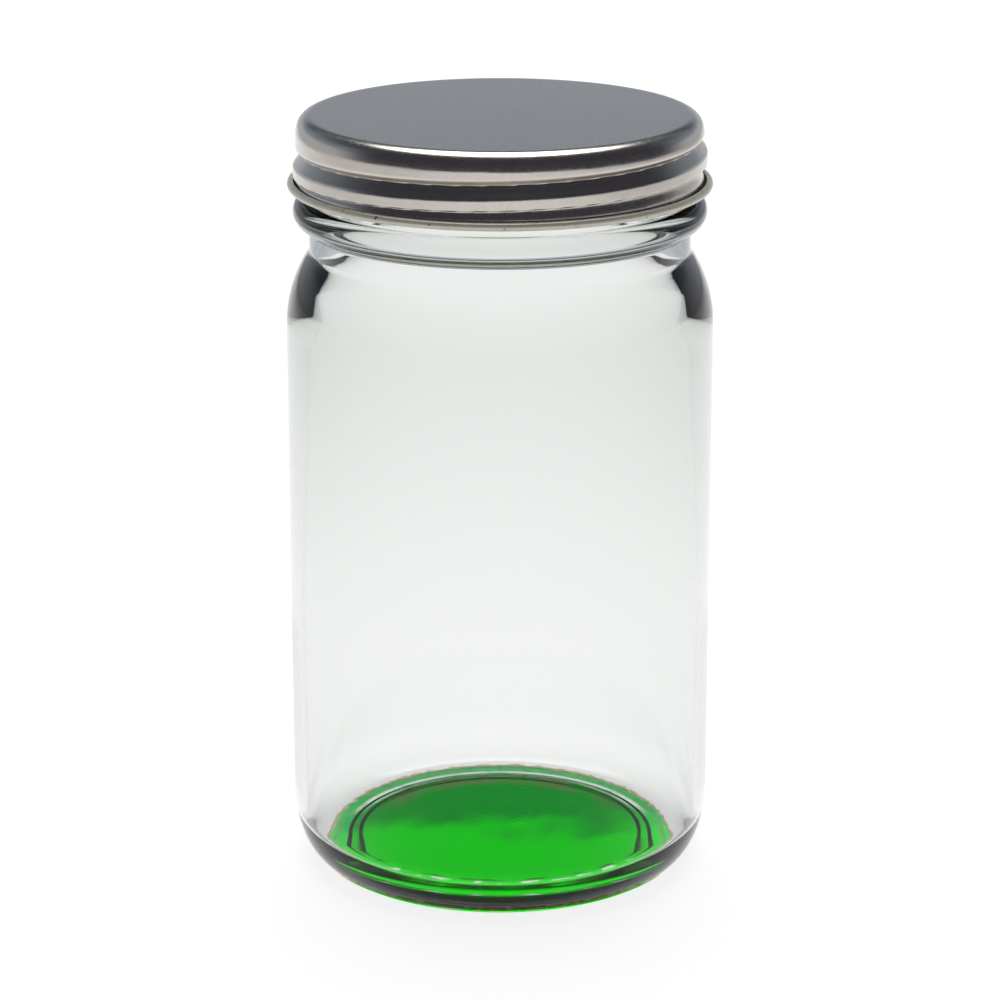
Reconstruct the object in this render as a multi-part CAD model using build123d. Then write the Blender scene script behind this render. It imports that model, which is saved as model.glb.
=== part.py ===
from build123d import *
import math
import os

# A tall clear glass jar with a green base and a one-piece screw lid of rolled tinplate.
# Millimetres. +Z is up, the origin is the middle of the base and the front faces -Y.
# The screw thread is left out: the finish of the glass is plain, and the groove that is
# rolled into the lid runs level, in the place of the thread's middle turn.

os.makedirs("parts", exist_ok=True)

# Glass: the finish, which takes the lid, sets the other radii
finish_radius = 42.1
finish_wall = 3.7
neck_inset = 0.65
bead_overhang = 2.85
body_overhang = 4.6
heel_run = 7.9
bearing_width = 4.4

# Glass: heights from the base upwards
heel_height = 15.4
wall_height = 107.2
shoulder_radius = 29.0
neck_height = 5.8
bead_height = 6.3
finish_height = 15.9

# Glass: walls and rounded corners
wall_thickness = 2.7
floor_thickness = 3.2
floor_crown = 0.6
inner_heel_radius = 7.0
neck_blend = 2.4
mouth_blend = 4.0
bead_blend = 0.5
lip_outer_round = 1.3
lip_inner_round = 1.1

# Underside of the base: a shallow push-up in two steps, inside the ring that the jar stands on
push_up_depth = 1.6
push_up_flank = 0.5
push_up_ledge = 2.3

# Green coat, which follows the underside of the glass
coat_thickness = 0.4

# Lid: the sheet, and the room that it leaves around the finish and over the bead
sheet_thickness = 0.25
skirt_room = 1.75
bead_gap = 1.8

# Corner between the flat panel and the skirt, on the outer face of the sheet
panel_inset = 0.9
panel_round = 3.0
corner_height = 3.4
corner_round = 4.0

# Rolled groove, from the top of its flank down its slope to the bulge
groove_height = 7.3
groove_depth = 1.2
groove_flank_height = 1.2
groove_slope_height = 2.7
bulge_rise = 0.8
bulge_round = 0.6

# Foot of the skirt: the recess under the bulge, the flare and the curl
recess_depth = 0.45
recess_height = 1.5
recess_step = 0.5
curl_flare = 0.3
curl_roll_radius = 0.95
curl_sweep_angle = 300.0

# Liner disc inside the lid
liner_thickness = 1.35
liner_edge_clearance = 2.5
liner_edge_round = 0.3
seat_clearance = 0.05

# Radii that follow from the sizes above
mouth_radius = finish_radius - finish_wall
neck_radius = finish_radius - neck_inset
body_radius = finish_radius + body_overhang
inner_radius = body_radius - wall_thickness
bearing_radius = body_radius - heel_run
push_up_radius = bearing_radius - bearing_width
shoulder_centre = body_radius - shoulder_radius
inner_shoulder_radius = shoulder_radius - wall_thickness
lid_radius = finish_radius + skirt_room + sheet_thickness
panel_radius = lid_radius - panel_inset
bulge_radius = lid_radius + bulge_rise
curl_skin_radius = curl_roll_radius - sheet_thickness
curl_start_radius = lid_radius + curl_flare

# Levels of the glass
bearing_level = coat_thickness
ceiling_level = bearing_level + push_up_depth
floor_level = ceiling_level + floor_thickness
heel_level = bearing_level + heel_height
shoulder_level = heel_level + wall_height
shoulder_run = neck_radius - shoulder_centre
neck_level = shoulder_level + math.sqrt(shoulder_radius**2 - shoulder_run**2)
inner_shoulder_run = mouth_radius - shoulder_centre
mouth_level = shoulder_level + math.sqrt(inner_shoulder_radius**2 - inner_shoulder_run**2)
bead_foot_level = neck_level + neck_height
bead_head_level = bead_foot_level + bead_height
lip_level = bead_head_level + finish_height

# Levels of the lid, whose liner rests on the lip and whose curl clears the bead
liner_level = lip_level + seat_clearance
lid_top_level = liner_level + liner_thickness + seat_clearance + sheet_thickness
curl_level = bead_head_level + bead_gap + curl_roll_radius
groove_level = curl_level + groove_height
bulge_level = groove_level - groove_slope_height
recess_level = curl_level + curl_roll_radius + recess_height
corner_level = lid_top_level - corner_height


def push_up_steps(low, high):
    """The corners of the push-up between two levels, from the middle outwards."""
    ledge_radius = push_up_radius - push_up_ledge
    ledge_level = (low + high) / 2
    return [
        (ledge_radius - push_up_flank, high),
        (ledge_radius, ledge_level),
        (push_up_radius - push_up_flank, ledge_level),
        (push_up_radius, low),
    ]


def round_corner(face, radius, level, blend):
    """Rounds the corner of a section that lies at this radius and level."""
    corner = face.vertices().sort_by_distance((radius, 0, level))[0]
    return fillet(corner, blend)


def turned(face):
    """A solid of revolution from a section drawn on the XZ plane."""
    return revolve(face, Axis.Z)


def section(*edges):
    """A face on the XZ plane, from edges drawn with radius across and level up."""
    return Plane.XZ * make_face(Curve() + list(edges))


def glass_section():
    """The turned section of the jar, from the underside up and back down the inside."""
    bead_level = bead_foot_level + bead_height / 2
    heel_radius = inner_radius - inner_heel_radius
    heel_head_level = floor_level + inner_heel_radius
    crown_level = floor_level + floor_crown
    face = section(
        Polyline(
            (0, ceiling_level),
            *push_up_steps(bearing_level, ceiling_level),
            (bearing_radius, bearing_level),
        ),
        EllipticalCenterArc(
            (bearing_radius, heel_level), heel_run, heel_height, start_angle=-90, arc_size=90
        ),
        Line((body_radius, heel_level), (body_radius, shoulder_level)),
        shoulder_arc(shoulder_radius, shoulder_run),
        Polyline(
            (neck_radius, neck_level),
            (neck_radius, bead_foot_level),
            (finish_radius, bead_foot_level),
        ),
        EllipticalCenterArc(
            (finish_radius, bead_level), bead_overhang, bead_height / 2, start_angle=-90, arc_size=180
        ),
        Polyline(
            (finish_radius, bead_head_level),
            (finish_radius, lip_level),
            (mouth_radius, lip_level),
            (mouth_radius, mouth_level),
        ),
        shoulder_arc(inner_shoulder_radius, inner_shoulder_run),
        Line((inner_radius, shoulder_level), (inner_radius, heel_head_level)),
        CenterArc((heel_radius, heel_head_level), inner_heel_radius, -90, 90),
        ThreePointArc(
            (-heel_radius, floor_level), (0, crown_level), (heel_radius, floor_level)
        ).trim(0.5, 1),
        Line((0, crown_level), (0, ceiling_level)),
    )
    face = round_corner(face, neck_radius, neck_level, neck_blend)
    face = round_corner(face, neck_radius, bead_foot_level, bead_blend)
    face = round_corner(face, finish_radius, bead_head_level, bead_blend)
    face = round_corner(face, finish_radius, lip_level, lip_outer_round)
    face = round_corner(face, mouth_radius, lip_level, lip_inner_round)
    return round_corner(face, mouth_radius, mouth_level, mouth_blend)


def shoulder_arc(radius, run):
    """The shoulder's arc, from the straight wall up to where it is this far from its centre."""
    return CenterArc((shoulder_centre, shoulder_level), radius, 0, math.degrees(math.acos(run / radius)))


def glass_jar():
    """The jar, moulded in one piece."""
    return turned(glass_section())


def green_base_coat():
    """A thin layer on the underside, up into the push-up and out to the heel."""
    ceiling_below = ceiling_level - coat_thickness
    face = section(
        Polyline(
            (0, ceiling_level),
            *push_up_steps(bearing_level, ceiling_level),
            (bearing_radius, bearing_level),
            (bearing_radius - coat_thickness, 0),
            *reversed(push_up_steps(0, ceiling_below)),
            (0, ceiling_below),
            close=True,
        )
    )
    return turned(face)


def lid_skin():
    """The outer face of the sheet: top, corner, groove, bulge, recess, flare and curl."""
    face_line = Polyline(
        (0, lid_top_level),
        (panel_radius, lid_top_level),
        (lid_radius, corner_level),
        (lid_radius, groove_level + groove_flank_height),
        (lid_radius - groove_depth, groove_level),
        (bulge_radius, bulge_level),
        (bulge_radius, recess_level + recess_step),
        (lid_radius - recess_depth, recess_level),
        (curl_start_radius, curl_level),
    )
    curl_middle = (curl_start_radius + curl_skin_radius, curl_level)
    curl = CenterArc(curl_middle, curl_skin_radius, 180, curl_sweep_angle)
    return Wire([*face_line.edges(), *curl.edges()])


def round_sheet_corner(face, radius, level, blend):
    """Rounds a corner of the sheet, on its outer face and on its inner one."""
    outer, inner = face.vertices().sort_by_distance((radius, 0, level))[:2]
    inner_place = inner.center()
    face = fillet(outer, blend)
    inner = face.vertices().sort_by_distance(inner_place)[0]
    return fillet(inner, blend - sheet_thickness)


def lid_shell():
    """One sheet of tinplate, rolled to the shape of its outer face."""
    sheet = lid_skin().offset_2d(sheet_thickness, kind=Kind.INTERSECTION, side=Side.RIGHT)
    face = Plane.XZ * make_face(sheet)
    face = round_sheet_corner(face, panel_radius, lid_top_level, panel_round)
    face = round_sheet_corner(face, lid_radius, corner_level, corner_round)
    face = round_sheet_corner(face, bulge_radius, bulge_level, bulge_round)
    face = round_sheet_corner(face, bulge_radius, recess_level + recess_step, bulge_round)
    return turned(face)


def lid_liner():
    """The loose sealing disc between the lid and the lip."""
    radius = lid_radius - sheet_thickness - liner_edge_clearance
    disc = Pos(0, 0, liner_level) * Cylinder(
        radius, liner_thickness, align=(Align.CENTER, Align.CENTER, Align.MIN)
    )
    return fillet(disc.edges(), liner_edge_round)


pieces = {
    "glass_jar": glass_jar(),
    "green_base_coat": green_base_coat(),
    "lid_shell": lid_shell(),
    "lid_liner": lid_liner(),
}
for name, piece in pieces.items():
    export_step(piece, f"parts/{name}.step")
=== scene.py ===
"""The looks of a clear glass screw-top jar with a green base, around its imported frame.

Every size is in metres. +Z is up, the origin is the middle of the base and the front faces -Y.
"""

from __future__ import annotations

import logging
import math
from collections.abc import Callable
from dataclasses import dataclass, field
from enum import Enum
from functools import partial, reduce

import bpy
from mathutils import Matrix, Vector

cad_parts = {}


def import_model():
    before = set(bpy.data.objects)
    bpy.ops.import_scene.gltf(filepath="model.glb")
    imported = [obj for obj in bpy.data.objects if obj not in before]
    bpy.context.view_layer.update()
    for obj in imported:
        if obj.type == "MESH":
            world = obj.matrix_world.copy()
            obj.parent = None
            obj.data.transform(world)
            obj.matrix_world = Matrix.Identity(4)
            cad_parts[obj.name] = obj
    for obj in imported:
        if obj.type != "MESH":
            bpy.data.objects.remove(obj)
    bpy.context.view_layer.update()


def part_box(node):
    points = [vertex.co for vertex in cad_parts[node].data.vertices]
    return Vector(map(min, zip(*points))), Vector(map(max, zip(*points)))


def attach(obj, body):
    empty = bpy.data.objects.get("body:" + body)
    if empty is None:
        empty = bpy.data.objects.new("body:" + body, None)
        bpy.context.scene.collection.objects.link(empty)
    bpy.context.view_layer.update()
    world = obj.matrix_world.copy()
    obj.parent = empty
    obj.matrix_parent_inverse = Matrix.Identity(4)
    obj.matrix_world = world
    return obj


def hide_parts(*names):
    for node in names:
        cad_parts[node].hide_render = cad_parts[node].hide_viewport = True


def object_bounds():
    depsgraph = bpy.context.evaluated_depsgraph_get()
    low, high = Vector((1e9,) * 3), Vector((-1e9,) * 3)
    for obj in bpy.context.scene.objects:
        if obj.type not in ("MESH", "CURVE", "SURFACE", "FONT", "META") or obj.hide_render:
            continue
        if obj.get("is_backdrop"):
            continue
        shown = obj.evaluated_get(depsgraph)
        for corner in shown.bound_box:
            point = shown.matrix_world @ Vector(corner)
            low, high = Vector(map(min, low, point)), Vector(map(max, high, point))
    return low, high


MM = 0.001
# Points that lie closer than this are one point
TOUCHING = 0.001 * MM
log = logging.getLogger("jar")

Span = tuple[float, float]
Triple = tuple[float, float, float]
Color = tuple[float, float, float, float]
Socket = bpy.types.NodeSocket
Value = Socket | float
Paint = Socket | Color
Shape = Callable[[float, float], float]

WHITE: Color = (1.0, 1.0, 1.0, 1.0)


class Body(Enum):
    """The bodies that the pieces ride on."""

    JAR = "jar"
    LINER = "liner"
    LID = "lid"


class Node(Enum):
    """The solids that the pieces stand for."""

    GLASS = "glass_jar"
    COAT = "green_base_coat"
    SHELL = "lid_shell"
    LINER = "lid_liner"


class Slot(Enum):
    """The material slots that the pieces take their finish from."""

    GLASS = "clear_glass"
    COAT = "green_coat"
    TINPLATE = "tinplate"
    LINER = "liner_disc"


def linear(red: int, green: int, blue: int) -> Color:
    """Turns a colour from display values, 0 to 255, into a shader's linear ones.

    Args:
        red: The display value of red.
        green: The display value of green.
        blue: The display value of blue.

    Returns:
        The linear colour, with an alpha of 1.
    """

    def channel(value: int) -> float:
        """Turns one channel's value."""
        share = value / 255
        return share / 12.92 if share <= 0.04045 else ((share + 0.055) / 1.055) ** 2.4

    return (channel(red), channel(green), channel(blue), 1.0)


def smooth(low: float, high: float, value: float) -> float:
    """Rises smoothly from 0 at low to 1 at high, or falls if low is above high.

    Args:
        low: Where the step is 0.
        high: Where the step is 1.
        value: The place to read.

    Returns:
        The height of the step, from 0 to 1.
    """
    share = min(max((value - low) / (high - low), 0.0), 1.0)
    return share * share * (3 - 2 * share)


def rounded_least(first: float, second: float, blend: float) -> float:
    """The lesser of two lengths, rounded where they cross.

    Args:
        first: One length.
        second: The other.
        blend: The difference within which the crossing is rounded.

    Returns:
        The rounded lesser length.
    """
    near = max(blend - abs(first - second), 0.0) / blend
    return min(first, second) - near * near * blend / 4


@dataclass
class Outline:
    """The section of a turned piece, drawn from the axis outwards and back to it.

    Fields:
        row: The longest stretch between two points of a straight line.
        turn: The angle between two points of an arc, in degrees.
        points: The radius and level of each point drawn so far.
        corners: The index of each corner to round, and the radius that rounds it.
    """

    row: float = 3.0 * MM
    turn: float = 4.0
    points: list[Vector] = field(default_factory=list)
    corners: list[tuple[int, float]] = field(default_factory=list)

    def start(self, radius: float, level: float) -> None:
        """Puts down the first point."""
        self.points = [Vector((radius, level))]

    def line(self, radius: float, level: float, blend: float = 0.0, row: float = 0.0) -> None:
        """Draws a straight line to a point.

        Args:
            radius: The point's distance from the axis.
            level: The point's height.
            blend: The radius that rounds the corner at the point, or 0 for none.
            row: The longest stretch between two points, or 0 for the outline's own.
        """
        start = self.points[-1]
        end = Vector((radius, level))
        count = max(1, math.ceil((end - start).length / (row or self.row)))
        for index in range(1, count + 1):
            self.points.append(start.lerp(end, index / count))
        self.mark(blend)

    def arc(self, centre: Span, reach: Span, first: float, last: float, blend: float = 0.0) -> None:
        """Draws a stretch of a circle or an ellipse.

        Args:
            centre: The radius and level of its centre.
            reach: Its half widths, across and up.
            first: The angle it starts at, in degrees from straight outwards.
            last: The angle it ends at.
            blend: The radius that rounds the corner at its end, or 0 for none.
        """
        count = max(2, math.ceil(abs(last - first) / self.turn))
        for index in range(count + 1):
            angle = math.radians(first + (last - first) * index / count)
            radius = centre[0] + reach[0] * math.cos(angle)
            place = Vector((radius, centre[1] + reach[1] * math.sin(angle)))
            if (place - self.points[-1]).length > TOUCHING:
                self.points.append(place)
        self.mark(blend)

    def mark(self, blend: float) -> None:
        """Keeps the last point as a corner to round."""
        if blend > 0:
            self.corners.append((len(self.points) - 1, blend))

    def rounded(self) -> list[Vector]:
        """Rounds the marked corners.

        Returns:
            The points of the finished section.
        """
        finished: list[Vector] = []
        done = 0
        for corner, blend in self.corners:
            tip = self.points[corner]
            inward = (tip - self.points[corner - 1]).normalized()
            outward = (self.points[corner + 1] - tip).normalized()
            bend = inward.angle(outward)
            reach = blend * math.tan(bend / 2)
            before, begin = self.walk(corner, -1, reach)
            after, end = self.walk(corner, 1, reach)
            finished += self.points[done : before + 1]
            count = max(2, math.ceil(math.degrees(bend) / (2 * self.turn)))
            weight = math.cos(bend / 2)
            for index in range(count + 1):
                share = index / count
                shares = ((1 - share) ** 2, 2 * weight * share * (1 - share), share**2)
                place = begin * shares[0] + tip * shares[1] + end * shares[2]
                finished.append(place / sum(shares))
            done = after
        finished += self.points[done:]
        return finished

    def walk(self, corner: int, way: int, reach: float) -> tuple[int, Vector]:
        """Walks along the points away from a corner.

        Args:
            corner: The corner's index.
            way: 1 to walk on and -1 to walk back.
            reach: How far to walk.

        Returns:
            The index of the next point past the place reached, and the place.
        """
        index = corner
        left = reach
        while True:
            step = self.points[index + way] - self.points[index]
            if step.length > left:
                return index + way, self.points[index] + step * (left / step.length)
            left -= step.length
            index += way


class Workshop:
    """Blender's own tools, used on one piece at a time."""

    @staticmethod
    def pick_nothing() -> None:
        """Leaves edit mode and deselects everything."""
        if bpy.context.object and bpy.context.object.mode != "OBJECT":
            bpy.ops.object.mode_set(mode="OBJECT")
        bpy.ops.object.select_all(action="DESELECT")

    @classmethod
    def pick(cls, piece: bpy.types.Object) -> None:
        """Makes one piece the only one that the tools act on."""
        cls.pick_nothing()
        piece.select_set(True)
        bpy.context.view_layer.objects.active = piece

    @classmethod
    def turned(cls, name: str, outline: Outline, steps: int) -> bpy.types.Object:
        """Spins a section about the upright axis.

        Args:
            name: The piece's name.
            outline: Its section.
            steps: How many stations there are around the axis.

        Returns:
            The turned piece, with its normals outwards.
        """
        points = outline.rounded()
        cls.pick_nothing()
        bpy.ops.mesh.primitive_plane_add(size=MM)
        piece = bpy.context.object
        piece.name = name
        piece.data.name = name
        bpy.ops.object.mode_set(mode="EDIT")
        bpy.ops.mesh.select_all(action="SELECT")
        bpy.ops.mesh.merge(type="CENTER")
        bpy.ops.transform.translate(value=(points[0].x, 0, points[0].y))
        for here, there in zip(points, points[1:]):
            stretch = (there.x - here.x, 0, there.y - here.y)
            bpy.ops.mesh.extrude_region_move(TRANSFORM_OT_translate={"value": stretch})
        bpy.ops.mesh.select_all(action="SELECT")
        bpy.ops.mesh.spin(steps=steps, angle=math.tau, center=(0, 0, 0), axis=(0, 0, 1))
        bpy.ops.mesh.select_all(action="SELECT")
        bpy.ops.mesh.remove_doubles(threshold=TOUCHING)
        bpy.ops.mesh.normals_make_consistent(inside=False)
        bpy.ops.object.mode_set(mode="OBJECT")
        return piece

    @staticmethod
    def rolled(piece: bpy.types.Object, shape: Shape, band: Span, beyond: float) -> None:
        """Moves a band of the piece in or out, as a threading roll does.

        Args:
            piece: The piece to shape.
            shape: Gives the move outwards from an angle about the axis and a level.
            band: The levels that the band starts and ends at.
            beyond: The radius outside which the piece is moved.
        """
        low, high = band
        for vertex in piece.data.vertices:
            place = vertex.co
            radius = math.hypot(place.x, place.y)
            if low < place.z < high and radius > beyond:
                moved = radius + shape(math.atan2(place.x, -place.y), place.z)
                place.x *= moved / radius
                place.y *= moved / radius

    @classmethod
    def thickened(
        cls, piece: bpy.types.Object, thickness: float, inside: bpy.types.Material
    ) -> None:
        """Gives a skin the thickness of its sheet, inwards.

        Args:
            piece: The skin, which has its outer finish.
            thickness: The sheet's thickness.
            inside: The finish of the sheet's inner face and edge.
        """
        cls.pick(piece)
        piece.data.materials.append(inside)
        sheet = piece.modifiers.new("sheet", "SOLIDIFY")
        sheet.material_offset = 1
        sheet.material_offset_rim = 1
        sheet.thickness = thickness
        sheet.offset = -1.0
        sheet.use_even_offset = True
        bpy.ops.object.modifier_apply(modifier=sheet.name)

    @classmethod
    def smoothed(cls, piece: bpy.types.Object, angle: float) -> None:
        """Shades the piece smooth, but for edges sharper than an angle in degrees."""
        cls.pick(piece)
        bpy.ops.object.shade_smooth_by_angle(angle=math.radians(angle))


class Net:
    """A set of shader nodes, added and joined by name."""

    def __init__(self, tree: bpy.types.NodeTree) -> None:
        """Starts with an empty set of nodes."""
        self.tree = tree
        self.tree.nodes.clear()

    def node(self, kind: str, **settings: object) -> bpy.types.Node:
        """Adds a node.

        Args:
            kind: The node's type, without its family name.
            settings: Its options, and its inputs by name with _ for a space.

        Returns:
            The node.
        """
        made = self.tree.nodes.new("ShaderNode" + kind)
        for key, value in settings.items():
            if hasattr(made, key):
                setattr(made, key, value)
            else:
                made.inputs[key.replace("_", " ")].default_value = value
        return made

    def join(self, source: Socket, target: Socket) -> None:
        """Leads a value from one socket to another."""
        self.tree.links.new(source, target)

    def axes(self, place: Socket) -> tuple[Socket, Socket, Socket]:
        """Splits a place or a direction into its three parts.

        Args:
            place: The place or direction.

        Returns:
            Its parts along X, Y and Z.
        """
        split = self.node("SeparateXYZ")
        self.join(place, split.inputs["Vector"])
        return split.outputs["X"], split.outputs["Y"], split.outputs["Z"]

    def ranged(self, value: Socket, span: Span, results: Span = (0.0, 1.0)) -> Socket:
        """Maps a value from one range to another, smoothly and within it.

        Args:
            value: The value to map.
            span: The values that give the first result and the last.
            results: Those two results.

        Returns:
            The mapped value.
        """
        mapped = self.node(
            "MapRange",
            interpolation_type="SMOOTHSTEP",
            From_Min=span[0],
            From_Max=span[1],
            To_Min=results[0],
            To_Max=results[1],
        )
        self.join(value, mapped.inputs["Value"])
        return mapped.outputs["Result"]

    def math(self, operation: str, first: Value, second: Value = 0.0) -> Socket:
        """Works out a value from one or two others.

        Args:
            operation: The operation's name.
            first: A socket or a number.
            second: A socket or a number.

        Returns:
            The result.
        """
        made = self.node("Math", operation=operation)
        for socket, value in zip(made.inputs, (first, second)):
            self.fill(socket, value)
        return made.outputs["Value"]

    def total(self, *terms: Value) -> Socket:
        """Adds values together."""
        return reduce(partial(self.math, "ADD"), terms)

    def product(self, *factors: Value) -> Socket:
        """Multiplies values together."""
        return reduce(partial(self.math, "MULTIPLY"), factors)

    def gap(self, first: Value, second: Value) -> Socket:
        """Works out how far two values lie apart."""
        return self.math("ABSOLUTE", self.math("SUBTRACT", first, second))

    def mixed(self, share: Socket, first: Paint, last: Paint) -> Socket:
        """Mixes two colours by a value from 0 to 1.

        Args:
            share: The value.
            first: The colour at 0, or a socket that gives it.
            last: The colour at 1, or a socket that gives it.

        Returns:
            The mixed colour.
        """
        mix = self.node("Mix", data_type="RGBA")
        self.join(share, mix.inputs["Factor"])
        for socket, paint in zip(mix.inputs[6:8], (first, last)):
            self.fill(socket, paint)
        return mix.outputs[2]

    def fill(self, socket: Socket, value: Value | Color) -> None:
        """Gives an input its value: another socket's, or a fixed one.

        Args:
            socket: The input.
            value: A socket, a number or a colour.
        """
        if isinstance(value, Socket):
            self.join(value, socket)
        else:
            socket.default_value = value


@dataclass(frozen=True)
class Pattern:
    """A noise pattern on a piece.

    Fields:
        scale: How many times it changes in a metre.
        detail: How many finer octaves it has.
        shown: The noise that counts as none and the noise that counts as all of it.
        stretch: Its scale along each axis.
    """

    scale: float
    detail: float
    shown: Span = (0.0, 1.0)
    stretch: Triple = (1.0, 1.0, 1.0)


class Finish(Net):
    """The nodes of one material."""

    def __init__(self, name: str) -> None:
        """Starts a material."""
        self.material = bpy.data.materials.new(name)
        self.material.use_nodes = True
        super().__init__(self.material.node_tree)
        self.output = self.node("OutputMaterial")
        self.place = self.node("TexCoord").outputs["Object"]

    def noise(self, pattern: Pattern) -> Socket:
        """Adds a noise pattern on the piece.

        Args:
            pattern: The pattern.

        Returns:
            The noise, from 0 to 1.
        """
        mapping = self.node("Mapping", Scale=pattern.stretch)
        texture = self.node("TexNoise", Scale=pattern.scale, Detail=pattern.detail)
        self.join(self.place, mapping.inputs["Vector"])
        self.join(mapping.outputs["Vector"], texture.inputs["Vector"])
        return texture.outputs["Fac"]

    def patches(self, pattern: Pattern) -> Socket:
        """Adds the patches of a noise pattern, from 0 beside them to 1 in them."""
        return self.ranged(self.noise(pattern), pattern.shown)

    def bump(self, height: Socket, distance: float) -> Socket:
        """Turns a height into a change of the normal.

        Args:
            height: The height, from 0 to 1.
            distance: What a height of 1 stands for, in metres.

        Returns:
            The changed normal.
        """
        relief = self.node("Bump", Distance=distance)
        self.join(height, relief.inputs["Height"])
        return relief.outputs["Normal"]

    def surface(self, **settings: object) -> bpy.types.Node:
        """Adds the main shader and leads it to the output.

        Args:
            settings: The shader's inputs by name, with _ for a space.

        Returns:
            The shader.
        """
        main = self.node("BsdfPrincipled", **settings)
        self.join(main.outputs["BSDF"], self.output.inputs["Surface"])
        return main


@dataclass(frozen=True)
class ClearGlass:
    """Moulded soda-lime glass, faintly green in its depth.

    Fields:
        ior: The index of refraction.
        tint: The colour that the depth of the glass takes on.
        density: How fast it takes it on, for each metre of glass.
        glare: How strongly its faces mirror.
        waves: The unevenness of its faces.
        wave_height: The height of the waves.
    """

    ior: float = 1.5
    tint: Color = (0.44, 0.48, 0.43, 1.0)
    density: float = 58.0
    glare: Color = (0.15, 0.15, 0.15, 1.0)
    waves: Pattern = Pattern(38.0, 1.0, stretch=(1.0, 1.0, 0.35))
    wave_height: float = 0.05 * MM

    def material(self) -> bpy.types.Material:
        """Builds the material."""
        shader = Finish("clear_glass")
        main = shader.surface(
            Base_Color=WHITE,
            Roughness=0.0,
            IOR=self.ior,
            Transmission_Weight=1.0,
            Specular_Tint=self.glare,
        )
        waves = shader.noise(self.waves)
        shader.join(shader.bump(waves, self.wave_height), main.inputs["Normal"])
        depth = shader.node("VolumeAbsorption", Color=self.tint, Density=self.density)
        shader.join(depth.outputs["Volume"], shader.output.inputs["Volume"])
        return shader.material


@dataclass(frozen=True)
class CoatPlace:
    """Where a point of the coat lies, as shader values.

    Fields:
        aside: Its distance to the right of the middle.
        back: Its distance to the back of the middle.
        radius: Its distance from the axis.
        off_step: Its distance from the step of the push-up.
        rear: How far it lies in the rear of the base, from 0 to 1.
    """

    aside: Socket
    back: Socket
    radius: Socket
    off_step: Socket
    rear: Socket


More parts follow.
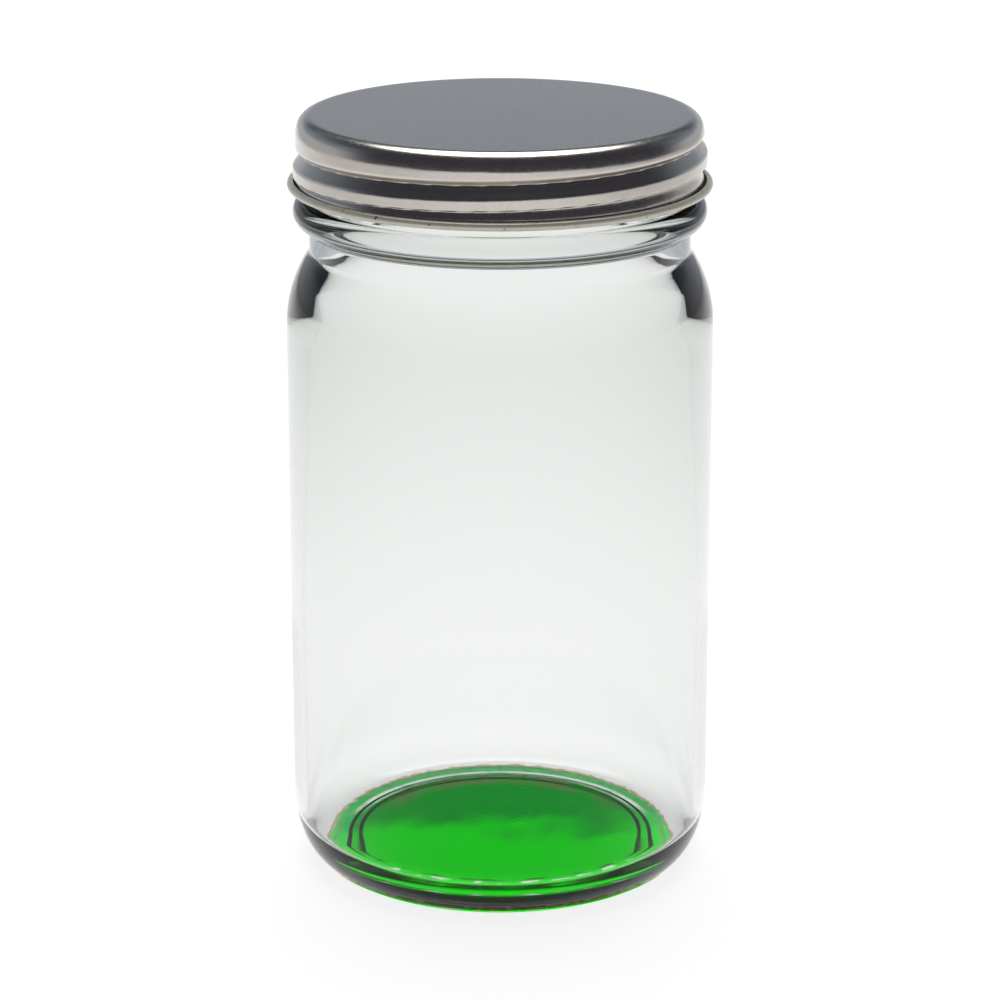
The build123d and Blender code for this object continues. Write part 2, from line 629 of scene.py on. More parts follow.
@dataclass(frozen=True)
class GreenCoat:
    """A saturated green coat bonded to the glass, which lets light through from below.

    Fields:
        bright: The colour in the middle and at the front.
        back_shade: The darker green towards the back, which is painted shade.
        drift: The pattern by which the change between the two wanders.
        drift_reach: How far it wanders.
        back_shade_span: How far back the painted shade starts and is full, with the drift added.
        step: The radius of the step of the push-up.
        band: The width of the painted highlight over the step, and of each band of painted shade
            beside it.
        ring_shade: The colour of the painted shade, in dark bands at both sides of the step.
        streaks: The pattern that breaks up the bands of painted shade.
        rear: How far back the rear of the base starts, and where it is fully reached.
        olive: The colour of the shadow inside the push-up, at the rear.
        shadow_start: The radii at which the shadow starts and is full.
        shadow_end: The radii at which it has ended and is still full.
        smears: The pattern of the shadow.
        ring_highlight: The colour of the painted highlight over the step.
        clouds: The pattern of the painted highlight at the rear.
        highlight_dashes: The pattern of the painted highlight at the front.
        front: How far back the front of the base starts, and where it is fully reached.
        fray: The pattern of the ragged edge.
        fray_reach: How far the edge is frayed.
        edge_lean: How much sooner the edge comes towards the back, for each metre.
        edge_taper: How much sooner it comes aside, for each square metre.
        tapers: How far back the taper starts and is full.
        burnt: The colour of the edge.
        fringe: The frayed radii at which the burnt colour starts and is full.
        bare: The frayed radii at which the coat starts to end and has ended.
    """

    bright: Color = (0.0, 0.84, 0.0, 1.0)
    # Painted shade: the green darkens towards the back.
    back_shade: Color = (0.0, 0.38, 0.02, 1.0)
    drift: Pattern = Pattern(70.0, 3.0)
    drift_reach: float = 36.0 * MM
    back_shade_span: Span = (10.8 * MM, 28.8 * MM)
    step: float = 34.5 * MM
    band: float = 1.7 * MM
    # Painted shade: dark bands beside the step of the push-up.
    ring_shade: Color = (0.04, 0.2, 0.03, 1.0)
    streaks: Pattern = Pattern(160.0, 3.0, shown=(0.35, 0.6))
    rear: Span = (8.0 * MM, 18.0 * MM)
    olive: Color = (0.14, 0.27, 0.08, 1.0)
    shadow_start: Span = (25.0 * MM, 29.0 * MM)
    shadow_end: Span = (33.5 * MM, 32.0 * MM)
    smears: Pattern = Pattern(130.0, 3.0, shown=(0.36, 0.54))
    # Painted highlight: a pale ring over the step of the push-up.
    ring_highlight: Color = (0.8, 1.0, 0.85, 1.0)
    clouds: Pattern = Pattern(160.0, 3.0, shown=(0.25, 0.5))
    highlight_dashes: Pattern = Pattern(260.0, 3.0, shown=(0.5, 0.6))
    front: Span = (-12.0 * MM, -24.0 * MM)
    fray: Pattern = Pattern(560.0, 4.0)
    fray_reach: float = 3.0 * MM
    edge_lean: float = 0.03
    edge_taper: float = 1.3
    tapers: Span = (-30.0 * MM, -12.0 * MM)
    burnt: Color = (0.62, 0.42, 0.26, 1.0)
    fringe: Span = (41.8 * MM, 42.5 * MM)
    bare: Span = (43.0 * MM, 43.5 * MM)

    def material(self) -> bpy.types.Material:
        """Builds the material."""
        shader = Finish("green_coat")
        main = shader.surface(Roughness=0.0, IOR=1.0, Transmission_Weight=1.0)
        place = self.located(shader)
        color = self.painted_back_shade(shader, place)
        color = self.painted_ring_shade(shader, place, color)
        color = self.shadowed(shader, place, color)
        color = self.painted_ring_highlight(shader, place, color)
        shader.join(self.frayed(shader, place, color), main.inputs["Base Color"])
        return shader.material

    def located(self, shader: Finish) -> CoatPlace:
        """Measures where each point of the coat lies.

        Args:
            shader: The material's nodes.

        Returns:
            The measures.
        """
        aside, back, _ = shader.axes(shader.place)
        square = shader.total(shader.product(aside, aside), shader.product(back, back))
        radius = shader.math("SQRT", square)
        rear = shader.ranged(back, self.rear)
        return CoatPlace(aside, back, radius, shader.gap(radius, self.step), rear)

    def painted_back_shade(self, shader: Finish, place: CoatPlace) -> Socket:
        """Paints shade on the green, which darkens towards the back.

        Args:
            shader: The material's nodes.
            place: Where the points of the coat lie.

        Returns:
            The colour.
        """
        drift = shader.product(shader.noise(self.drift), self.drift_reach)
        # Painted shade: the green darkens towards the back, along a wandering line.
        depth = shader.ranged(shader.total(place.back, drift), self.back_shade_span)
        return shader.mixed(depth, self.bright, self.back_shade)

    def painted_ring_shade(self, shader: Finish, place: CoatPlace, color: Socket) -> Socket:
        """Paints shade in dark bands at both sides of the step.

        Args:
            shader: The material's nodes.
            place: Where the points of the coat lie.
            color: The colour so far.

        Returns:
            The colour with the bands.
        """
        # Painted shade: two dark bands beside the step, broken into streaks.
        off_middle = shader.gap(place.off_step, self.band + self.band / 2)
        bands = shader.ranged(off_middle, (self.band / 2, 0.0))
        share = shader.product(bands, shader.patches(self.streaks))
        return shader.mixed(share, color, self.ring_shade)

    def shadowed(self, shader: Finish, place: CoatPlace, color: Socket) -> Socket:
        """Lays the shadow inside the push-up, at the rear.

        Args:
            shader: The material's nodes.
            place: Where the points of the coat lie.
            color: The colour so far.

        Returns:
            The colour with the shadow.
        """
        share = shader.product(
            shader.ranged(place.radius, self.shadow_start),
            place.rear,
            shader.ranged(place.radius, self.shadow_end),
            shader.patches(self.smears),
        )
        return shader.mixed(share, color, self.olive)

    def painted_ring_highlight(self, shader: Finish, place: CoatPlace, color: Socket) -> Socket:
        """Paints a highlight over the step, dashed at the front and clouded at the rear.

        Args:
            shader: The material's nodes.
            place: Where the points of the coat lie.
            color: The colour so far.

        Returns:
            The colour with the painted highlight.
        """
        # Painted highlight over the step: dashes at the front, clouds at the rear.
        front = shader.ranged(place.back, self.front)
        highlight_dashes = shader.product(shader.patches(self.highlight_dashes), front)
        clouds = shader.product(shader.patches(self.clouds), place.rear)
        band = shader.ranged(place.off_step, (self.band, self.band / 2))
        share = shader.product(band, shader.total(highlight_dashes, clouds))
        return shader.mixed(share, color, self.ring_highlight)

    def frayed(self, shader: Finish, place: CoatPlace, color: Socket) -> Socket:
        """Ends the coat in its burnt, ragged edge.

        Args:
            shader: The material's nodes.
            place: Where the points of the coat lie.
            color: The colour so far.

        Returns:
            The colour with the edge, and white beyond it.
        """
        fray = shader.product(shader.noise(self.fray), self.fray_reach)
        lean = shader.product(place.back, self.edge_lean)
        tapered = shader.ranged(place.back, self.tapers, (0.0, self.edge_taper))
        taper = shader.product(place.aside, place.aside, tapered)
        radius = shader.total(place.radius, fray, lean, taper)
        color = shader.mixed(shader.ranged(radius, self.fringe), color, self.burnt)
        return shader.mixed(shader.ranged(radius, self.bare), color, WHITE)


@dataclass(frozen=True)
class Tinplate:
    """Satin tinned steel sheet with a fine grain and slight dents in its skirt.

    Fields:
        pale: The colour of the paler patches.
        dull: The colour of the duller ones.
        clouds: The pattern of the patches.
        grain: The pattern of the grain.
        grain_height: The height of the grain.
        roughness: The roughness at the bottom and at the top of the grain.
        dents: The pattern of the dents.
        dent_height: The height of the dents.
        skirt: The levels at which the dents start, from the top down, and are full.
    """

    pale: Color = linear(202, 196, 188)
    dull: Color = linear(194, 188, 181)
    clouds: Pattern = Pattern(45.0, 4.0)
    grain: Pattern = Pattern(2600.0, 2.0, shown=(0.3, 0.7))
    grain_height: float = 0.004 * MM
    roughness: Span = (0.16, 0.26)
    dents: Pattern = Pattern(90.0, 2.0, stretch=(1.0, 1.0, 2.5))
    dent_height: float = 0.1 * MM
    skirt: Span = (166.5 * MM, 165.0 * MM)

    def material(self) -> bpy.types.Material:
        """Builds the material."""
        shader = Finish("tinplate")
        main = shader.surface(Metallic=1.0)
        color = shader.mixed(shader.noise(self.clouds), self.dull, self.pale)
        shader.join(color, main.inputs["Base Color"])
        grain = shader.noise(self.grain)
        roughness = shader.ranged(grain, self.grain.shown, self.roughness)
        shader.join(roughness, main.inputs["Roughness"])
        level = shader.axes(shader.place)[2]
        dents = shader.product(
            shader.noise(self.dents),
            shader.ranged(level, self.skirt),
            self.dent_height / self.grain_height,
        )
        relief = shader.bump(shader.total(grain, dents), self.grain_height)
        shader.join(relief, main.inputs["Normal"])
        return shader.material


@dataclass(frozen=True)
class Lacquer:
    """The cream lacquer on the inside of the sheet, which the curl turns outwards.

    Fields:
        cream: The colour of the paler patches.
        shade: The colour of the darker ones.
        clouds: The pattern of the patches.
        scuff: The colour where the lacquer is worn.
        wear: The pattern of the wear.
        ripple: The pattern of the lacquer's surface.
        ripple_height: The height of the ripples.
        roughness: How dull the lacquer is.
        metallic: How much of the metal below shows through.
    """

    cream: Color = linear(206, 203, 188)
    shade: Color = linear(188, 184, 168)
    clouds: Pattern = Pattern(120.0, 3.0)
    scuff: Color = linear(112, 92, 70)
    wear: Pattern = Pattern(950.0, 3.0, shown=(0.64, 0.7))
    ripple: Pattern = Pattern(900.0, 2.0)
    ripple_height: float = 0.01 * MM
    roughness: float = 0.3
    metallic: float = 0.3

    def material(self) -> bpy.types.Material:
        """Builds the material."""
        shader = Finish("lid_lacquer")
        main = shader.surface(Roughness=self.roughness, Metallic=self.metallic)
        color = shader.mixed(shader.noise(self.clouds), self.shade, self.cream)
        color = shader.mixed(shader.patches(self.wear), color, self.scuff)
        shader.join(color, main.inputs["Base Color"])
        relief = shader.bump(shader.noise(self.ripple), self.ripple_height)
        shader.join(relief, main.inputs["Normal"])
        return shader.material


@dataclass(frozen=True)
class LinerFoam:
    """A matt off-white sealing disc.

    Fields:
        light: The colour of the tops of the foam's cells.
        shade: The colour between them, which is painted shade in the hollows.
        cells: The pattern of the cells.
        cell_height: The height of the cells.
        roughness: How dull the foam is.
    """

    light: Color = linear(236, 233, 224)
    shade: Color = linear(222, 218, 207)
    cells: Pattern = Pattern(1800.0, 3.0)
    cell_height: float = 0.02 * MM
    roughness: float = 0.7

    def material(self) -> bpy.types.Material:
        """Builds the material."""
        shader = Finish("liner_foam")
        main = shader.surface(Roughness=self.roughness)
        cells = shader.noise(self.cells)
        # Painted shade: the hollows between the cells, low in the same noise as their bump, are
        # darker.
        shader.join(shader.mixed(cells, self.shade, self.light), main.inputs["Base Color"])
        shader.join(shader.bump(cells, self.cell_height), main.inputs["Normal"])
        return shader.material


@dataclass
class Helix:
    """The right-handed line that a thread follows, with its angles counted from the front.

    Fields:
        pitch: The rise in one turn.
        level: The level at the front.
        first: The angle that it starts at, in radians.
        last: The angle that it ends at.
        fade: The angle over which its ends fade.
        turns: The turns, counted from the front, that any part of it may lie in.
    """

    pitch: float
    level: float
    first: float
    last: float
    fade: float
    turns: range = range(-2, 3)

    def passes(self, angle: float) -> list[Span]:
        """Finds where the thread crosses an upright line.

        Args:
            angle: The line's angle from the front, in radians.

        Returns:
            The level and the strength, from 0 to 1, of each crossing.
        """
        found = []
        for turn in self.turns:
            along = angle + turn * math.tau
            if self.first < along < self.last:
                ends = min(along - self.first, self.last - along)
                level = self.level + self.pitch * along / math.tau
                found.append((level, smooth(0.0, self.fade, ends)))
        return found


@dataclass
class GlassJar:
    """The moulded jar and the green coat under its base.

    Fields:
        lip_level: The level of the lip, from the frame.
        body_radius: The radius of the straight wall, from the frame.
        finish_radius: The radius of the finish, without its thread.
        finish_wall: The thickness of the glass there.
        neck_inset: How far the neck lies inside the finish.
        bead_overhang: How far the bead stands out from the finish.
        heel_run: How far the heel curves in from the wall.
        bearing_width: The width of the ring that the jar stands on.
        heel_height: The height of the heel.
        shoulder_radius: The radius of the shoulder's curve.
        neck_height: The height of the neck.
        bead_height: The height of the bead.
        finish_height: The height from the bead to the lip.
        wall: The thickness of the straight wall at its foot.
        floor_thickness: The thickness of the floor at its edge.
        floor_crown: How much higher the floor is in the middle.
        inner_heel_radius: The radius of the curve between the inner wall and the floor.
        neck_blend: The radius that rounds the foot of the neck.
        mouth_blend: The radius that rounds the lower end of the mouth.
        mouth_level: The level of that end.
        swell: The radius, level and rounding of each corner below it, where the wall swells.
        bead_blend: The radius that rounds the crease over the bead.
        foot_blend: The radius that rounds the crease under it.
        lip_outer_round: The radius that rounds the outer edge of the lip.
        lip_inner_round: The radius that rounds its inner edge.
        push_up_depth: How far the push-up rises in its two steps.
        push_up_ledge: How far the inner step lies inside the outer one.
        push_up_flank: How far in each step slopes.
        push_up_blend: The radius that rounds the corners of the steps.
        coat: The thickness of the coat.
        coat_overlap: How far the coat is sunk into the glass, to which it is bonded.
        coat_climb: How far the coat climbs the heel, in degrees of the heel's arc.
        coat_foot: The radius and level of each corner of the coat below that.
        thread_roll: The radius of the thread's round crest.
        thread_inset: How far its middle lies inside the finish.
        thread: The line that the thread follows.
        neck_row: The longest stretch between two points of the neck.
        finish_row: The longest stretch between two points of the finish.
        floor_rows: How many stretches the crown of the floor has.
        glass_crease: The angle past which an edge of the glass is shaded sharp, in degrees.
        coat_crease: The same for the coat.
        steps: How many stations there are around the axis.
    """

    lip_level: float
    body_radius: float
    finish_radius: float = 42.1 * MM
    finish_wall: float = 3.7 * MM
    neck_inset: float = 0.65 * MM
    bead_overhang: float = 2.85 * MM
    heel_run: float = 7.9 * MM
    bearing_width: float = 4.4 * MM
    heel_height: float = 15.4 * MM
    shoulder_radius: float = 29.0 * MM
    neck_height: float = 5.8 * MM
    bead_height: float = 6.3 * MM
    finish_height: float = 15.9 * MM
    wall: float = 2.7 * MM
    floor_thickness: float = 3.2 * MM
    floor_crown: float = 0.6 * MM
    inner_heel_radius: float = 7.0 * MM
    neck_blend: float = 2.4 * MM
    mouth_blend: float = 10.0 * MM
    mouth_level: float = 145.0 * MM
    swell: tuple[Triple, ...] = (
        (41.25 * MM, 130.6 * MM, 20.0 * MM),
        (41.35 * MM, 123.0 * MM, 20.0 * MM),
        (44.0 * MM, 60.0 * MM, 200.0 * MM),
    )
    bead_blend: float = 0.5 * MM
    foot_blend: float = 1.1 * MM
    lip_outer_round: float = 1.3 * MM
    lip_inner_round: float = 1.1 * MM
    push_up_depth: float = 1.6 * MM
    push_up_ledge: float = 2.3 * MM
    push_up_flank: float = 0.8 * MM
    push_up_blend: float = 0.6 * MM
    coat: float = 0.4 * MM
    coat_overlap: float = 0.03 * MM
    coat_climb: float = 30.0
    coat_foot: tuple[Span, ...] = (
        (42.9 * MM, 2.35 * MM),
        (41.7 * MM, 1.2 * MM),
        (40.2 * MM, 0.3 * MM),
        (39.0 * MM, 0.0),
    )
    thread_roll: float = 1.5 * MM
    thread_inset: float = 0.3 * MM
    thread: Helix = field(
        default_factory=lambda: Helix(
            pitch=6.35 * MM, level=164.675 * MM, first=math.radians(-410), last=0.0, fade=0.35
        )
    )
    neck_row: float = 0.5 * MM
    finish_row: float = 0.25 * MM
    floor_rows: int = 12
    glass_crease: float = 40.0
    coat_crease: float = 30.0
    steps: int = 240

    def __post_init__(self) -> None:
        """Works out the radii and levels that follow from the sizes."""
        self.mouth_radius = self.finish_radius - self.finish_wall
        self.neck_radius = self.finish_radius - self.neck_inset
        self.inner_radius = self.body_radius - self.wall
        self.bearing_radius = self.body_radius - self.heel_run
        self.push_up_radius = self.bearing_radius - self.bearing_width
        self.shoulder_centre = self.body_radius - self.shoulder_radius
        self.bearing_level = self.coat
        self.ceiling_level = self.bearing_level + self.push_up_depth
        self.floor_level = self.ceiling_level + self.floor_thickness
        self.heel_level = self.bearing_level + self.heel_height
        self.bead_head_level = self.lip_level - self.finish_height
        self.bead_foot_level = self.bead_head_level - self.bead_height
        self.neck_level = self.bead_foot_level - self.neck_height
        neck_run = self.neck_radius - self.shoulder_centre
        self.shoulder_level = self.neck_level - math.sqrt(self.shoulder_radius**2 - neck_run**2)
        self.neck_angle = math.degrees(math.acos(neck_run / self.shoulder_radius))

    def outline(self) -> Outline:
        """Draws the section of the glass, from the middle of the underside up and back down."""
        line = Outline()
        line.start(0, self.ceiling_level)
        self.draw_underside(line)
        heel = (self.bearing_radius, self.heel_level)
        line.arc(heel, (self.heel_run, self.heel_height), -90, 0)
        line.line(self.body_radius, self.shoulder_level)
        shoulder = (self.shoulder_centre, self.shoulder_level)
        reach = (self.shoulder_radius, self.shoulder_radius)
        line.arc(shoulder, reach, 0, self.neck_angle, self.neck_blend)
        self.draw_finish(line)
        for corner in self.swell:
            line.line(*corner)
        self.draw_floor(line)
        return line

    def draw_underside(self, line: Outline) -> None:
        """Draws the push-up in its two steps and the flat ring that the jar stands on.

        Args:
            line: The section, drawn up to the middle of the underside.
        """
        for radius, level in self.push_up_steps(self.bearing_level, self.ceiling_level):
            line.line(radius, level, self.push_up_blend)
        line.line(self.bearing_radius, self.bearing_level)

    def push_up_steps(self, low: float, high: float) -> list[Span]:
        """The corners of the push-up, outwards.

        Args:
            low: The level that the jar stands on.
            high: The level of the ceiling.

        Returns:
            The radius and level of each corner.
        """
        ledge_radius = self.push_up_radius - self.push_up_ledge
        middle = (low + high) / 2
        return [
            (ledge_radius - self.push_up_flank, high),
            (ledge_radius, middle),
            (self.push_up_radius - self.push_up_flank, middle),
            (self.push_up_radius, low),
        ]

    def draw_finish(self, line: Outline) -> None:
        """Draws the neck, the bead, the finish without its thread, the lip and the mouth.

        Args:
            line: The section, drawn up to the head of the shoulder.
        """
        line.line(self.neck_radius, self.bead_foot_level, self.foot_blend, self.neck_row)
        line.line(self.finish_radius, self.bead_foot_level)
        bead = (self.finish_radius, (self.bead_foot_level + self.bead_head_level) / 2)
        line.arc(bead, (self.bead_overhang, self.bead_height / 2), -90, 90, self.bead_blend)
        line.line(self.finish_radius, self.lip_level, self.lip_outer_round, self.finish_row)
        line.line(self.mouth_radius, self.lip_level, self.lip_inner_round)
        line.line(self.mouth_radius, self.mouth_level, self.mouth_blend)

    def draw_floor(self, line: Outline) -> None:
        """Draws the inner wall, the inner heel and the crowned floor.

        Args:
            line: The section, drawn up to where the inner wall stops swelling.
        """
        heel_radius = self.inner_radius - self.inner_heel_radius
        heel_level = self.floor_level + self.inner_heel_radius
        line.line(self.inner_radius, heel_level)
        reach = (self.inner_heel_radius, self.inner_heel_radius)
        line.arc((heel_radius, heel_level), reach, 0, -90)
        rise = self.floor_crown
        dome = (heel_radius**2 + rise**2) / (2 * rise)
        spread = math.degrees(math.asin(heel_radius / dome))
        flat = Outline(turn=spread / self.floor_rows, points=line.points)
        flat.arc((0, self.floor_level + rise - dome), (dome, dome), 90 - spread, 90)

    def thread_rise(self, angle: float, level: float) -> float:
        """How far the glass thread stands out.

        Args:
            angle: The angle from the front, in radians.
            level: The level on the finish.

        Returns:
            The height of the thread there.
        """
        rise = 0.0
        for crossing, strength in self.thread.passes(angle):
            away = abs(level - crossing)
            if away < self.thread_roll:
                crest = math.sqrt(self.thread_roll**2 - away**2) - self.thread_inset
                rise = max(rise, crest * strength)
        return rise

    def glass(self) -> bpy.types.Object:
        """Builds the jar."""
        piece = Workshop.turned("jar_glass", self.outline(), self.steps)
        middle = (self.mouth_radius + self.finish_radius) / 2
        Workshop.rolled(piece, self.thread_rise, (self.bead_head_level, self.lip_level), middle)
        piece.data.materials.append(ClearGlass().material())
        Workshop.smoothed(piece, self.glass_crease)
        return piece

    def base_coat(self) -> bpy.types.Object:
        """Builds the coat, which follows the underside and is sunk a little way into it."""
        line = Outline()
        line.start(0, self.ceiling_level + self.coat_overlap)
        for radius, level in self.push_up_steps(self.bearing_level, self.ceiling_level):
            line.line(radius, level + self.coat_overlap, self.push_up_blend)
        line.line(self.bearing_radius, self.bearing_level + self.coat_overlap)
        heel = (self.bearing_radius, self.heel_level)
        reach = (self.heel_run - self.coat_overlap, self.heel_height - self.coat_overlap)
        line.arc(heel, reach, -90, self.coat_climb - 90)
        for radius, level in self.coat_foot:
            line.line(radius, level)
        for radius, level in reversed(self.push_up_steps(0, self.ceiling_level - self.coat)):
            line.line(radius, level)
        line.line(0, self.ceiling_level - self.coat)
        piece = Workshop.turned("base_coat", line, self.steps)
        piece.data.materials.append(GreenCoat().material())
        Workshop.smoothed(piece, self.coat_crease)
        return piece

    def build(self) -> None:
        """Builds, dresses and seats the glass and its coat."""
        seat(self.glass(), Body.JAR, Node.GLASS)
        seat(self.base_coat(), Body.JAR, Node.COAT)


@dataclass
class ScrewLid:
    """The tinplate cap, rolled from one sheet, and the disc inside it.

    The groove is steep on its upper side and slopes out to a bulge on its lower side. Below the
    bulge the skirt steps in and flares out again to the curl.

    Fields:
        top_level: The level of the panel, from the frame.
        foot_level: The level of the curl's underside, from the frame.
        liner_radius: The radius of the disc, from the frame.
        liner_low: The level of its underside, from the frame.
        liner_high: The level of its top, from the frame.
        skirt_radius: The radius of the skirt, before it is rolled.
        sheet: The thickness of the tinplate.
        panel_inset: How far the panel ends inside the skirt.
        panel_round: The radius that rounds its edge.
        corner_height: How far below the panel the skirt starts.
        corner_round: The radius that rounds the start of the skirt.
        corner_row: The longest stretch between two points of the corner.
        band_row: The longest stretch between two points of the skirt.
        curl_roll: The outer radius of the curl.
        curl_flare: How far the skirt has flared out where the curl starts.
        curl_sweep: How far the sheet is curled round, in degrees.
        curl_turn: The angle between two points of the curl, in degrees.
        groove_depth: The depth of the groove.
        groove_flank: How steep the groove's upper side is: its move for each length down.
        groove_slope: The same for its lower side.
        groove_round: How sharply the bottom of the groove is rounded.
        bulge_rise: How far the bulge stands out.
        recess_depth: The depth of the recess under the bulge.
        recess_drop: How far below the groove the recess starts.
        recess_least: How high it is where it is lowest.
        recess_step: The height of the step into it.
        edge_round: How sharply the edges of the bulge are rounded.
        groove: The line that the groove follows.
        liner_round: The radius that rounds the edges of the disc.
        shell_crease: The angle past which an edge of the cap is shaded sharp, in degrees.
        liner_crease: The same for the disc.
        steps: How many stations there are around the axis.
    """

    top_level: float
    foot_level: float
    liner_radius: float
    liner_low: float
    liner_high: float
    skirt_radius: float = 44.1 * MM
    sheet: float = 0.25 * MM
    panel_inset: float = 0.9 * MM
    panel_round: float = 3.0 * MM
    corner_height: float = 3.4 * MM
    corner_round: float = 4.0 * MM
    corner_row: float = 0.5 * MM
    band_row: float = 0.14 * MM
    curl_roll: float = 0.9 * MM
    curl_flare: float = 0.4 * MM
    curl_sweep: float = 300.0
    curl_turn: float = 12.0
    groove_depth: float = 1.2 * MM
    groove_flank: float = 1.0
    groove_slope: float = 0.75
    groove_round: float = 0.12 * MM
    bulge_rise: float = 0.8 * MM
    recess_depth: float = 0.45 * MM
    recess_drop: float = 5.3 * MM
    recess_least: float = 0.6 * MM
    recess_step: float = 0.5 * MM
    edge_round: float = 0.35 * MM
    groove: Helix = field(
        default_factory=lambda: Helix(
            pitch=6.35 * MM,
            level=162.6 * MM,
            first=math.radians(-285),
            last=math.radians(190),
            fade=0.5,
        )
    )
    liner_round: float = 0.3 * MM
    shell_crease: float = 45.0
    liner_crease: float = 30.0
    steps: int = 256

    def __post_init__(self) -> None:
        """Works out where the skirt ends, at the curl below and at the corner above."""
        self.skirt_low = self.foot_level + 2 * self.curl_roll
        self.skirt_high = self.top_level - self.corner_height

    def outline(self) -> Outline:
        """Draws the outer face of the sheet, down the skirt and round the curl."""
        curl_level = self.foot_level + self.curl_roll
        inner_roll = self.curl_roll - self.sheet
        line = Outline()
        line.start(0, self.top_level)
        line.line(self.skirt_radius - self.panel_inset, self.top_level, self.panel_round)
        line.line(self.skirt_radius, self.skirt_high, self.corner_round, self.corner_row)
        line.line(self.skirt_radius, self.skirt_low, 0.0, self.band_row)
        line.line(self.skirt_radius + self.curl_flare, curl_level)
        tight = Outline(turn=self.curl_turn, points=line.points)
        centre = (self.skirt_radius + self.curl_flare + inner_roll, curl_level)
        tight.arc(centre, (inner_roll, inner_roll), 180, 180 + self.curl_sweep)
        return line

    def rolled_move(self, angle: float, level: float) -> float:
        """How far the rolls move the skirt in or out.

        Args:
            angle: The angle from the front, in radians.
            level: The level on the skirt.

        Returns:
            The move outwards.
        """
        move = self.grooved_move(angle, level)
        head = self.recess_head(angle)
        flare = smooth(head, self.skirt_low, level)
        inset = -self.recess_depth * (1 - flare)
        step = smooth(head, head + self.recess_step, level)
        recess = inset + (self.bulge_rise - inset) * step
        return rounded_least(move, recess, self.edge_round)

    def grooved_move(self, angle: float, level: float) -> float:
        """How far the groove and the bulge below it move the skirt.

        Args:
            angle: The angle from the front, in radians.
            level: The level on the skirt.

        Returns:
            The move outwards.
        """
        rise = self.bulge_rise
        depth = self.groove_depth
        move = 0.0
        for crossing, strength in sorted(self.groove.passes(angle), reverse=True):
            below = crossing - level
            slope = rounded_least(rise, below * self.groove_slope - depth, self.edge_round)
            flank = rounded_least(move, -below * self.groove_flank - depth, self.edge_round)
            cut = -rounded_least(-slope, -flank, self.groove_round)
            bare = move + (rise - move) * smooth(-self.edge_round, self.edge_round, below)
            move = cut * strength + bare * (1 - strength)
        return move

    def recess_head(self, angle: float) -> float:
        """Finds how high the recess reaches, which follows the groove round the lid.

        Where the lower end of the groove runs in, the recess sinks to its least height.

        Args:
            angle: The angle from the front, in radians.

        Returns:
            The level of its upper end.
        """
        crossings = self.groove.passes(angle)
        runs_in = crossings[0][1] if len(crossings) > 1 else 0.0
        least = self.skirt_low + self.recess_least
        groove = self.groove.level + self.groove.pitch * angle / math.tau
        head = max(groove - self.recess_drop, least)
        return head + (least - head) * runs_in

    def shell(self) -> bpy.types.Object:
        """Builds the cap as a skin, rolls its thread and gives it the sheet's thickness."""
        piece = Workshop.turned("lid_tinplate", self.outline(), self.steps)
        skirt = (self.skirt_low, self.skirt_high)
        Workshop.rolled(piece, self.rolled_move, skirt, self.skirt_radius / 2)
        piece.data.materials.append(Tinplate().material())
        Workshop.thickened(piece, self.sheet, Lacquer().material())
        Workshop.smoothed(piece, self.shell_crease)
        return piece

    def liner(self) -> bpy.types.Object:
        """Builds the sealing disc."""
        line = Outline()
        line.start(0, self.liner_low)
        line.line(self.liner_radius, self.liner_low, self.liner_round)
        line.line(self.liner_radius, self.liner_high, self.liner_round)
        line.line(0, self.liner_high)
        piece = Workshop.turned("liner_disc", line, self.steps)
        piece.data.materials.append(LinerFoam().material())
        Workshop.smoothed(piece, self.liner_crease)
        return piece

    def build(self) -> None:
        """Builds, dresses and seats the cap and its disc."""
        seat(self.shell(), Body.LID, Node.SHELL)
        seat(self.liner(), Body.LINER, Node.LINER)


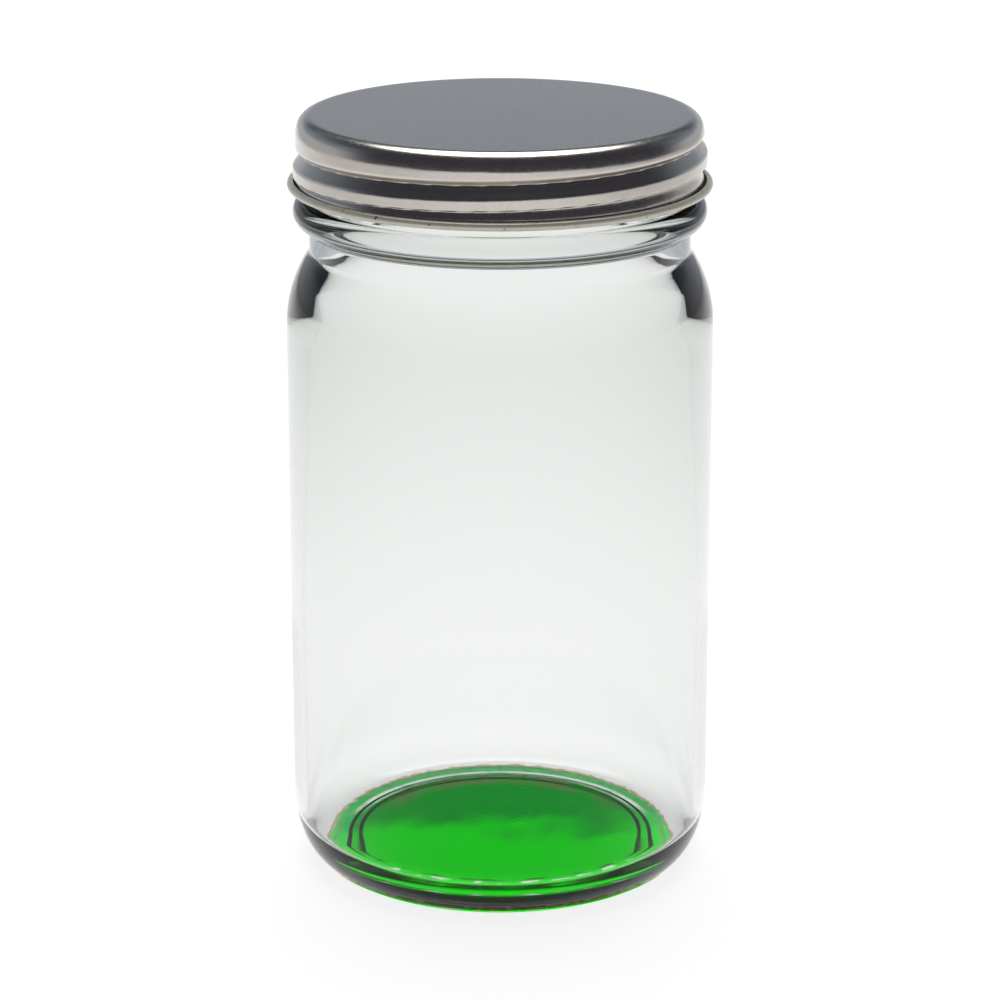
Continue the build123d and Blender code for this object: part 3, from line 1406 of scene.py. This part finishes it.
@dataclass
class Studio:
    """The pale floor, the soft light around it and the camera.

    Lights lie in directions. A level is a height over the horizon and a turn is counted from the
    front to the right, both in degrees.

    Fields:
        floor_size: The floor's width.
        floor_glow: How brightly it glows.
        floor_aside: How brightly it glows far aside.
        floor_sides: How far aside it starts to dim and has dimmed.
        floor_share: The share of its glow that is left far back.
        floor_back: How far back it has dimmed to that share and where it starts to dim.
        floor_dull: The colour of its darker patches.
        floor_pale: The colour of its paler ones.
        floor_clouds: The pattern of the patches.
        floor_roughness: How dull it is.
        softbox: The light of the softbox above.
        softbox_tilt: How far it leans to the back, in degrees.
        softbox_reach: The angle from its middle to its edge.
        softbox_blur: The angle over which its edge fades.
        front: The light of the dim front, behind the camera.
        front_left: The turn at which the front starts, on the left.
        front_right: The turn at which it ends, on the right.
        front_blur: The angle over which it fades at both ends.
        low: The light of the foot of the walls.
        middle: The light of their middle.
        high: The light of their head.
        low_level: The level at which the light of the foot ends.
        middle_level: The level at which the light of the middle is reached.
        high_level: The level at which the light of the head is reached.
        dip_level: The level at which it is reached straight back.
        dip_sides: How nearly straight back it starts to dip, and where it has, as cosines.
        camera_place: Where the camera stands.
        camera_pitch: How far it looks down, in degrees.
        lens: Its focal length, in millimetres.
    """

    floor_size: float = 8.0
    floor_glow: float = 0.86
    floor_aside: float = 0.45
    floor_sides: Span = (0.34, 1.1)
    floor_share: float = 0.6
    floor_back: Span = (1.7, 1.3)
    floor_dull: Color = (0.19, 0.19, 0.19, 1.0)
    floor_pale: Color = (0.2, 0.2, 0.2, 1.0)
    floor_clouds: Pattern = Pattern(3.0, 2.0)
    floor_roughness: float = 0.9
    softbox: Color = (5.5, 5.5, 5.5, 1.0)
    softbox_tilt: float = 20.0
    softbox_reach: float = 19.0
    softbox_blur: float = 10.0
    front: Color = (0.05, 0.05, 0.066, 1.0)
    front_left: float = -75.0
    front_right: float = 100.0
    front_blur: float = 30.0
    low: Color = (0.55, 0.58, 0.64, 1.0)
    middle: Color = (0.285, 0.34, 0.4, 1.0)
    high: Color = (0.05, 0.056, 0.075, 1.0)
    low_level: float = 6.0
    middle_level: float = 13.0
    high_level: float = 45.0
    dip_level: float = 19.0
    dip_sides: Span = (0.78, 0.88)
    camera_place: Triple = (0.0, -0.7613, 0.3171)
    camera_pitch: float = 17.15
    lens: float = 129.01

    def floor(self) -> None:
        """Lays the floor."""
        Workshop.pick_nothing()
        bpy.ops.mesh.primitive_plane_add(size=self.floor_size)
        piece = bpy.context.object
        piece.name = "studio_floor"
        shader = Finish("studio_floor")
        main = shader.surface(Roughness=self.floor_roughness, Emission_Color=WHITE)
        right, back, _ = shader.axes(shader.place)
        aside = shader.math("ABSOLUTE", right)
        glow = shader.ranged(aside, self.floor_sides, (self.floor_glow, self.floor_aside))
        share = shader.ranged(back, self.floor_back, (self.floor_share, 1.0))
        shader.join(shader.product(glow, share), main.inputs["Emission Strength"])
        clouds = shader.noise(self.floor_clouds)
        color = shader.mixed(clouds, self.floor_dull, self.floor_pale)
        shader.join(color, main.inputs["Base Color"])
        piece.data.materials.append(shader.material)
        piece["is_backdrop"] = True

    def light(self) -> None:
        """Lights the scene from all round: a softbox above, pale walls and a dim front."""
        world = bpy.data.worlds.new("studio")
        bpy.context.scene.world = world
        world.use_nodes = True
        net = Net(world.node_tree)
        right, back, up = net.axes(net.node("TexCoord").outputs["Generated"])
        walls = net.mixed(self.ahead(net, right, back), self.wall(net, back, up), self.front)
        lit = net.mixed(self.overhead(net, back, up), walls, self.softbox)
        glow = net.node("Background")
        net.join(lit, glow.inputs["Color"])
        net.join(glow.outputs["Background"], net.node("OutputWorld").inputs["Surface"])

    def overhead(self, net: Net, back: Socket, up: Socket) -> Socket:
        """Finds whether a direction meets the softbox.

        Args:
            net: The world's nodes.
            back: The direction's part to the back.
            up: Its part upwards.

        Returns:
            The softbox's share of the light, from 0 to 1.
        """
        tilt = math.radians(self.softbox_tilt)
        along = net.total(net.product(up, math.cos(tilt)), net.product(back, math.sin(tilt)))
        edge = math.cos(math.radians(self.softbox_reach))
        soft = math.cos(math.radians(self.softbox_reach + self.softbox_blur))
        return net.ranged(along, (soft, edge))

    def wall(self, net: Net, back: Socket, up: Socket) -> Socket:
        """Grades the walls from the horizon upwards, with a darker dip straight back.

        Args:
            net: The world's nodes.
            back: The direction's part to the back.
            up: Its part upwards.

        Returns:
            The walls' light.
        """
        degrees = (self.low_level, self.middle_level, self.dip_level, self.high_level)
        low, middle, dip, high = (math.sin(math.radians(level)) for level in degrees)
        wall = net.mixed(net.ranged(up, (low, middle)), self.low, self.middle)
        wall = net.mixed(net.ranged(up, (middle, high)), wall, self.high)
        behind = net.ranged(back, self.dip_sides)
        return net.mixed(net.product(net.ranged(up, (middle, dip)), behind), wall, self.high)

    def ahead(self, net: Net, right: Socket, back: Socket) -> Socket:
        """Finds whether a direction meets the dim front.

        Args:
            net: The world's nodes.
            right: The direction's part to the right.
            back: Its part to the back.

        Returns:
            The front's share of the light, from 0 to 1.
        """
        turn = net.math("ARCTAN2", right, net.product(back, -1.0))
        blur = math.radians(self.front_blur)
        first, last = math.radians(self.front_left), math.radians(self.front_right)
        starts = net.ranged(turn, (first - blur, first))
        return net.product(starts, net.ranged(turn, (last + blur, last)))

    def camera(self) -> None:
        """Sets the camera at the photograph's angle."""
        lens = bpy.data.cameras.new("camera")
        lens.lens = self.lens
        camera = bpy.data.objects.new("camera", lens)
        camera.location = self.camera_place
        camera.rotation_euler = (math.radians(90 - self.camera_pitch), 0, 0)
        bpy.context.scene.collection.objects.link(camera)
        bpy.context.scene.camera = camera

    def build(self) -> None:
        """Sets up the studio."""
        self.floor()
        self.light()
        self.camera()
        bpy.context.scene.view_settings.view_transform = "Standard"


def seat(piece: bpy.types.Object, body: Body, node: Node) -> None:
    """Lets a finished piece ride on its body and stand for its solid.

    Args:
        piece: The piece, in its place.
        body: The body that it rides on.
        node: The solid that it stands for.
    """
    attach(piece, body.value)
    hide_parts(node.value)
    log.info("%s: %d faces, on %s", piece.name, len(piece.data.polygons), body.value)


def corners() -> list[list[float]]:
    """The corners of the object's box, as plain numbers."""
    return [list(corner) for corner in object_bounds()]


def main() -> None:
    """Loads the frame, builds the jar, the lid and the studio."""
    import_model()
    glass_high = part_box(Node.GLASS.value)[1]
    lid_low, lid_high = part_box(Node.SHELL.value)
    liner_low, liner_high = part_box(Node.LINER.value)
    GlassJar(lip_level=glass_high.z, body_radius=glass_high.x).build()
    ScrewLid(
        top_level=lid_high.z,
        foot_level=lid_low.z,
        liner_radius=liner_high.x,
        liner_low=liner_low.z,
        liner_high=liner_high.z,
    ).build()
    Studio().build()
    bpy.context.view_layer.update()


if __name__ == "__main__":
    logging.basicConfig(level=logging.INFO, format="%(name)s: %(message)s")
    main()
